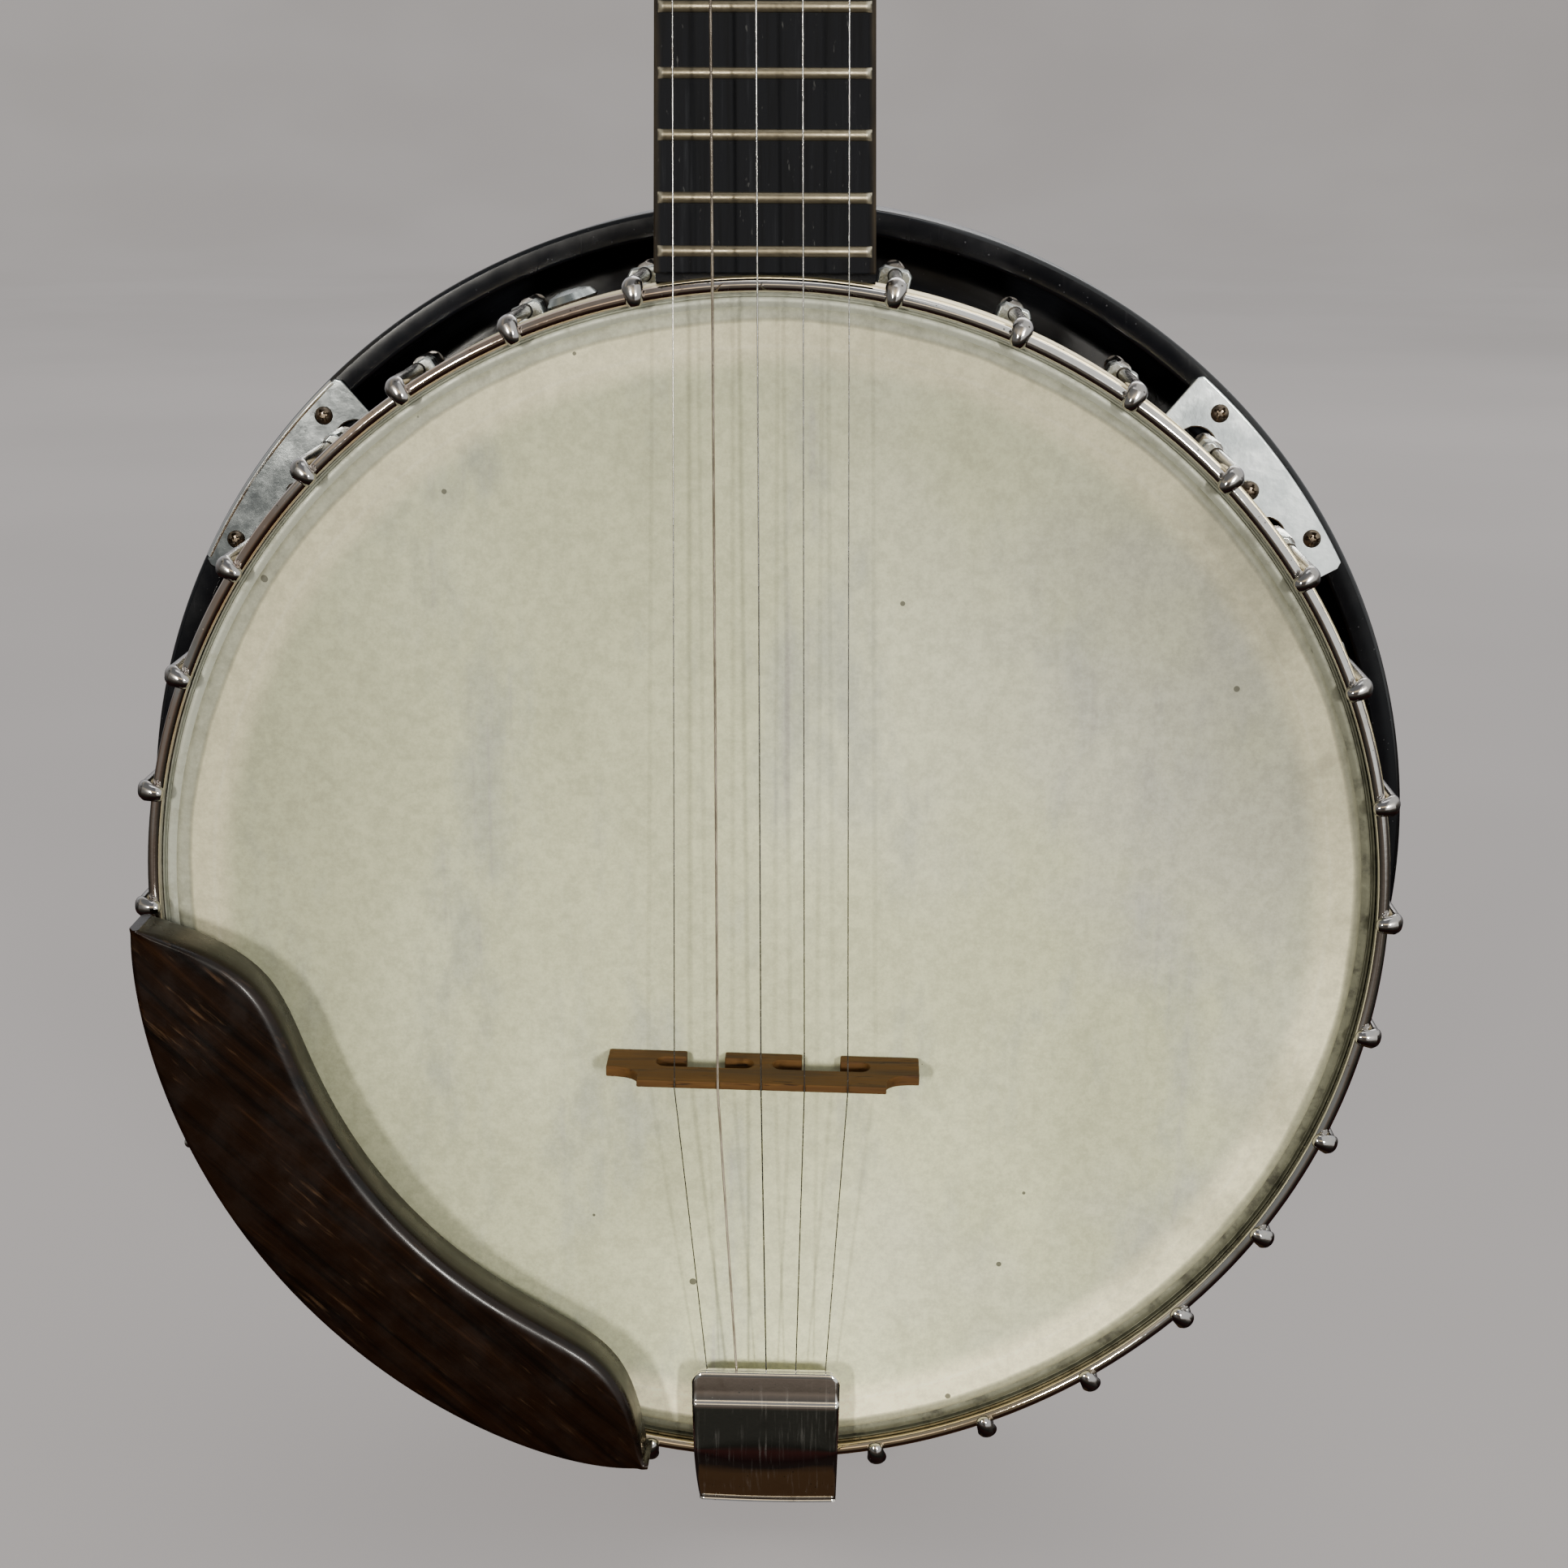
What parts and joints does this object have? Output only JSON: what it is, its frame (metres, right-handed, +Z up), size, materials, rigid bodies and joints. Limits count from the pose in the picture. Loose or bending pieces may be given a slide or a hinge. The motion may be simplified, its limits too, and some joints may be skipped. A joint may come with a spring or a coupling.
{
  "type": "banjo",
  "caption": "Five-string banjo with a hooked and hooped head, a black resonator on flange plates, a long fretted neck, geared pegs, an armrest and a hinged tailpiece.",
  "frame": {"origin": "middle of the resonator's flat back", "axes": "+Z up the neck, -Y the way the head faces, +X towards the first string's side"},
  "size_m": [0.32, 0.119, 0.9547],
  "materials": {
    "maple": "stained maple, satin",
    "chrome": "chrome plate, lightly tarnished",
    "nickel": "nickel plate, slightly dulled and spotted",
    "skin": "frosted film, dirty off-white",
    "black_lacquer": "black lacquer, semi-gloss",
    "ebony": "black stained hardwood, satin",
    "walnut": "dark brown varnish, worn",
    "bridge_maple": "bare maple",
    "bone": "polished cream",
    "steel": "bright steel",
    "bronze": "wound bronze",
    "pearl_plastic": "pearly cream"
  },
  "bodies": {
    "instrument": {"rim": "maple", "tension_hoop": "chrome", "head": "skin", "tension_hook_01": "chrome", "tension_hook_02": "chrome", "tension_hook_03": "chrome", "tension_hook_04": "chrome", "tension_hook_05": "chrome", "tension_hook_06": "chrome", "tension_hook_07": "chrome", "tension_hook_08": "chrome", "tension_hook_09": "chrome", "tension_hook_10": "chrome", "tension_hook_11": "chrome", "tension_hook_12": "chrome", "tension_hook_13": "chrome", "tension_hook_14": "chrome", "tension_hook_15": "chrome", "tension_hook_16": "chrome", "tension_hook_17": "chrome", "tension_hook_18": "chrome", "tension_hook_19": "chrome", "tension_hook_20": "chrome", "tension_hook_21": "chrome", "tension_hook_22": "chrome", "tension_hook_23": "chrome", "tension_hook_24": "chrome", "tension_hook_25": "chrome", "tension_hook_26": "chrome", "tension_hook_27": "chrome", "tension_hook_28": "chrome", "tension_hook_29": "chrome", "tension_hook_30": "chrome", "resonator": "black_lacquer", "flange_plate_1": "nickel", "flange_plate_2": "nickel", "flange_plate_3": "nickel", "flange_plate_4": "nickel", "neck": "black_lacquer", "fingerboard": "ebony", "string_nut": "bone", "coordinator_rod": "steel", "bridge": "bridge_maple", "tailpiece_base": "chrome", "armrest": "walnut", "string_1": "steel", "string_2": "steel", "string_3": "steel", "string_4": "bronze", "string_5": "steel"},
    "button_1": {"tuner_button_1": "pearl_plastic"},
    "post_1": {"tuner_post_1": "nickel"},
    "button_2": {"tuner_button_2": "pearl_plastic"},
    "post_2": {"tuner_post_2": "nickel"},
    "button_3": {"tuner_button_3": "pearl_plastic"},
    "post_3": {"tuner_post_3": "nickel"},
    "button_4": {"tuner_button_4": "pearl_plastic"},
    "post_4": {"tuner_post_4": "nickel"},
    "peg": {"fifth_peg": "pearl_plastic"},
    "cover": {"tailpiece_cover": "chrome"}
  },
  "joints": [
    {"name": "button_turn_1", "type": "hinge", "parent": "instrument", "child": "button_1", "pos_m": [0.0205, -0.0853, 0.68304], "axis": [0, -0.9781, 0.2079], "continuous": true},
    {"name": "post_turn_1", "type": "hinge", "parent": "instrument", "child": "post_1", "pos_m": [0.0205, -0.0853, 0.68304], "axis": [0, -0.9781, 0.2079], "continuous": true},
    {"name": "button_turn_2", "type": "hinge", "parent": "instrument", "child": "button_2", "pos_m": [0.0205, -0.07407, 0.73586], "axis": [0, -0.9781, 0.2079], "continuous": true},
    {"name": "post_turn_2", "type": "hinge", "parent": "instrument", "child": "post_2", "pos_m": [0.0205, -0.07407, 0.73586], "axis": [0, -0.9781, 0.2079], "continuous": true},
    {"name": "button_turn_3", "type": "hinge", "parent": "instrument", "child": "button_3", "pos_m": [-0.0205, -0.07407, 0.73586], "axis": [0, -0.9781, 0.2079], "continuous": true},
    {"name": "post_turn_3", "type": "hinge", "parent": "instrument", "child": "post_3", "pos_m": [-0.0205, -0.07407, 0.73586], "axis": [0, -0.9781, 0.2079], "continuous": true},
    {"name": "button_turn_4", "type": "hinge", "parent": "instrument", "child": "button_4", "pos_m": [-0.0205, -0.0853, 0.68304], "axis": [0, -0.9781, 0.2079], "continuous": true},
    {"name": "post_turn_4", "type": "hinge", "parent": "instrument", "child": "post_4", "pos_m": [-0.0205, -0.0853, 0.68304], "axis": [0, -0.9781, 0.2079], "continuous": true},
    {"name": "fifth_peg_turn", "type": "hinge", "parent": "instrument", "child": "peg", "pos_m": [-0.01535, -0.091, 0.49], "axis": [-1, 0, 0], "continuous": true},
    {"name": "cover_hinge", "type": "hinge", "parent": "instrument", "child": "cover", "pos_m": [0.0009, -0.097, -0.155], "axis": [1, 0, 0], "range_deg": [0, 70]}
  ],
  "couplings": [
    {"joint": "post_turn_1", "follows": "button_turn_1", "ratio": 0.25},
    {"joint": "post_turn_2", "follows": "button_turn_2", "ratio": 0.25},
    {"joint": "post_turn_3", "follows": "button_turn_3", "ratio": 0.25},
    {"joint": "post_turn_4", "follows": "button_turn_4", "ratio": 0.25}
  ]
}
